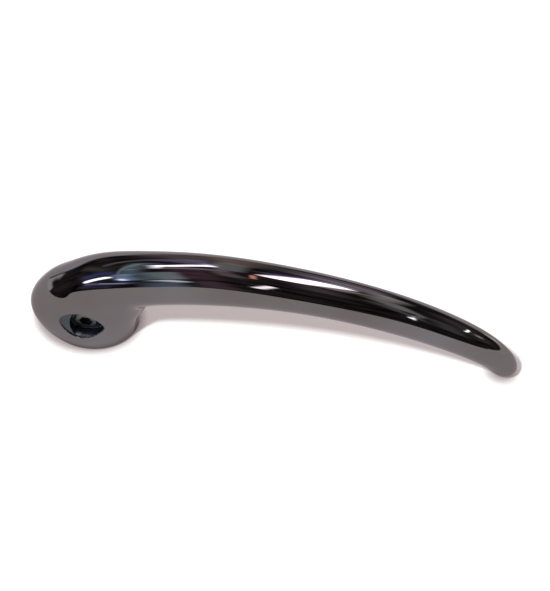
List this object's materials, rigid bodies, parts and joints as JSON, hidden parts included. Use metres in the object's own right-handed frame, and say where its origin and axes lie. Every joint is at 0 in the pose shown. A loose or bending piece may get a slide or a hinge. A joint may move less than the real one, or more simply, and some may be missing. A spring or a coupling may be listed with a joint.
{
  "type": "lever handle",
  "caption": "Plated one-footed lever handle for window hardware: an arched, tapering grip on a round boss that turns on a hidden sleeve held by a side screw.",
  "frame": {"origin": "on the pivot axis, in the plane of the surface that the handle is fixed to", "axes": "+Z away from the mounting surface along the pivot axis, +X along the grip to its tip, -Y to the side with the screw window"},
  "size_m": [0.1239, 0.021, 0.0302],
  "materials": {
    "plated_casting": "dark bright chrome plating on a zinc die casting",
    "machined_steel": "turned steel, zinc plated",
    "spring_steel": "rolled spring steel strip",
    "bearing_bronze": "sintered bearing bronze",
    "screw_steel": "blackened set screw steel",
    "nylon": "moulded nylon"
  },
  "bodies": {
    "pivot": {"pivot_sleeve": "machined_steel", "wave_spring": "spring_steel"},
    "lever": {"lever_casting": "plated_casting", "thrust_washer": "spring_steel", "lower_bush": "bearing_bronze", "upper_bush": "bearing_bronze", "retaining_screw": "screw_steel", "locking_patch": "nylon"}
  },
  "joints": [
    {"name": "lever_turn", "type": "hinge", "parent": "pivot", "child": "lever", "pos_m": [0, 0, 0], "axis": [0, 0, 1], "range_deg": [-90, 90]}
  ]
}
